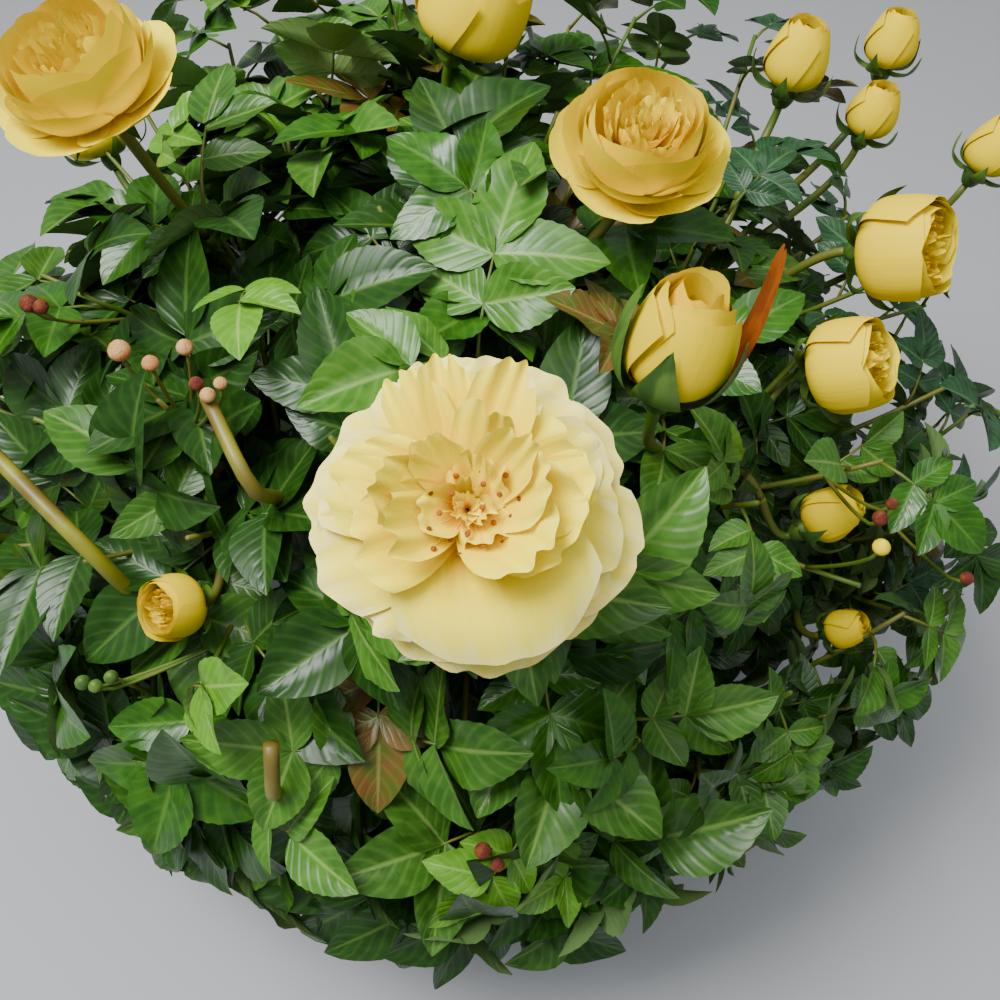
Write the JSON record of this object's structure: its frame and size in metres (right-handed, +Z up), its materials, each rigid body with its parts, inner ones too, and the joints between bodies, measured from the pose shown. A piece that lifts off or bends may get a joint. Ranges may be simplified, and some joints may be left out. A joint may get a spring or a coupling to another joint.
{
  "type": "rose bush",
  "caption": "Rounded garden rose bush with leafy arching canes, ruffled yellow blooms and upright buds, rooted at a short knobbly stem base.",
  "frame": {"origin": "centre of the flat cut at ground level, under the stem base", "axes": "+Z up; -Y is the side the picture was taken from; +X is to the right as seen from there"},
  "size_m": [0.6385, 0.541, 0.5429],
  "materials": {
    "stem_bark": "rough grey-brown woody bark with green patches",
    "cane_green": "smooth waxy green cane skin, browner with age",
    "foliage_green": "glossy dark green leaves, lighter on young shoots",
    "petals_yellow": "matt satin yellow petals with green sepals and stalks"
  },
  "bodies": {
    "root": {"bloom_back": "petals_yellow", "bloom_back_left": "petals_yellow", "bloom_front": "petals_yellow", "bloom_left": "petals_yellow", "bloom_left_low": "petals_yellow", "bloom_middle": "petals_yellow", "bloom_right_lower": "petals_yellow", "bloom_right_upper": "petals_yellow", "branch_lower_back": "cane_green", "branch_lower_back_left": "cane_green", "branch_lower_back_right": "cane_green", "branch_lower_front": "cane_green", "branch_lower_front_left": "cane_green", "branch_lower_front_right": "cane_green", "branch_lower_left": "cane_green", "branch_lower_right": "cane_green", "bud_back_far": "petals_yellow", "bud_back_low": "petals_yellow", "bud_back_near": "petals_yellow", "bud_back_right": "petals_yellow", "bud_far_right": "petals_yellow", "bud_left_front": "petals_yellow", "bud_left_side": "petals_yellow", "bud_opening": "petals_yellow", "bud_right_low": "petals_yellow", "bud_right_middle": "petals_yellow", "cane_middle": "cane_green", "cane_upper_back": "cane_green", "cane_upper_back_left": "cane_green", "cane_upper_back_right": "cane_green", "cane_upper_front": "cane_green", "cane_upper_front_left": "cane_green", "cane_upper_front_right": "cane_green", "foliage_lower_back": "foliage_green", "foliage_lower_back_left": "foliage_green", "foliage_lower_back_right": "foliage_green", "foliage_lower_front": "foliage_green", "foliage_lower_front_left": "foliage_green", "foliage_lower_front_right": "foliage_green", "foliage_lower_left": "foliage_green", "foliage_lower_right": "foliage_green", "foliage_middle": "foliage_green", "foliage_upper_back": "foliage_green", "foliage_upper_back_left": "foliage_green", "foliage_upper_back_right": "foliage_green", "foliage_upper_front": "foliage_green", "foliage_upper_front_left": "foliage_green", "foliage_upper_front_right": "foliage_green", "stem_base": "stem_bark"}
  },
  "joints": []
}
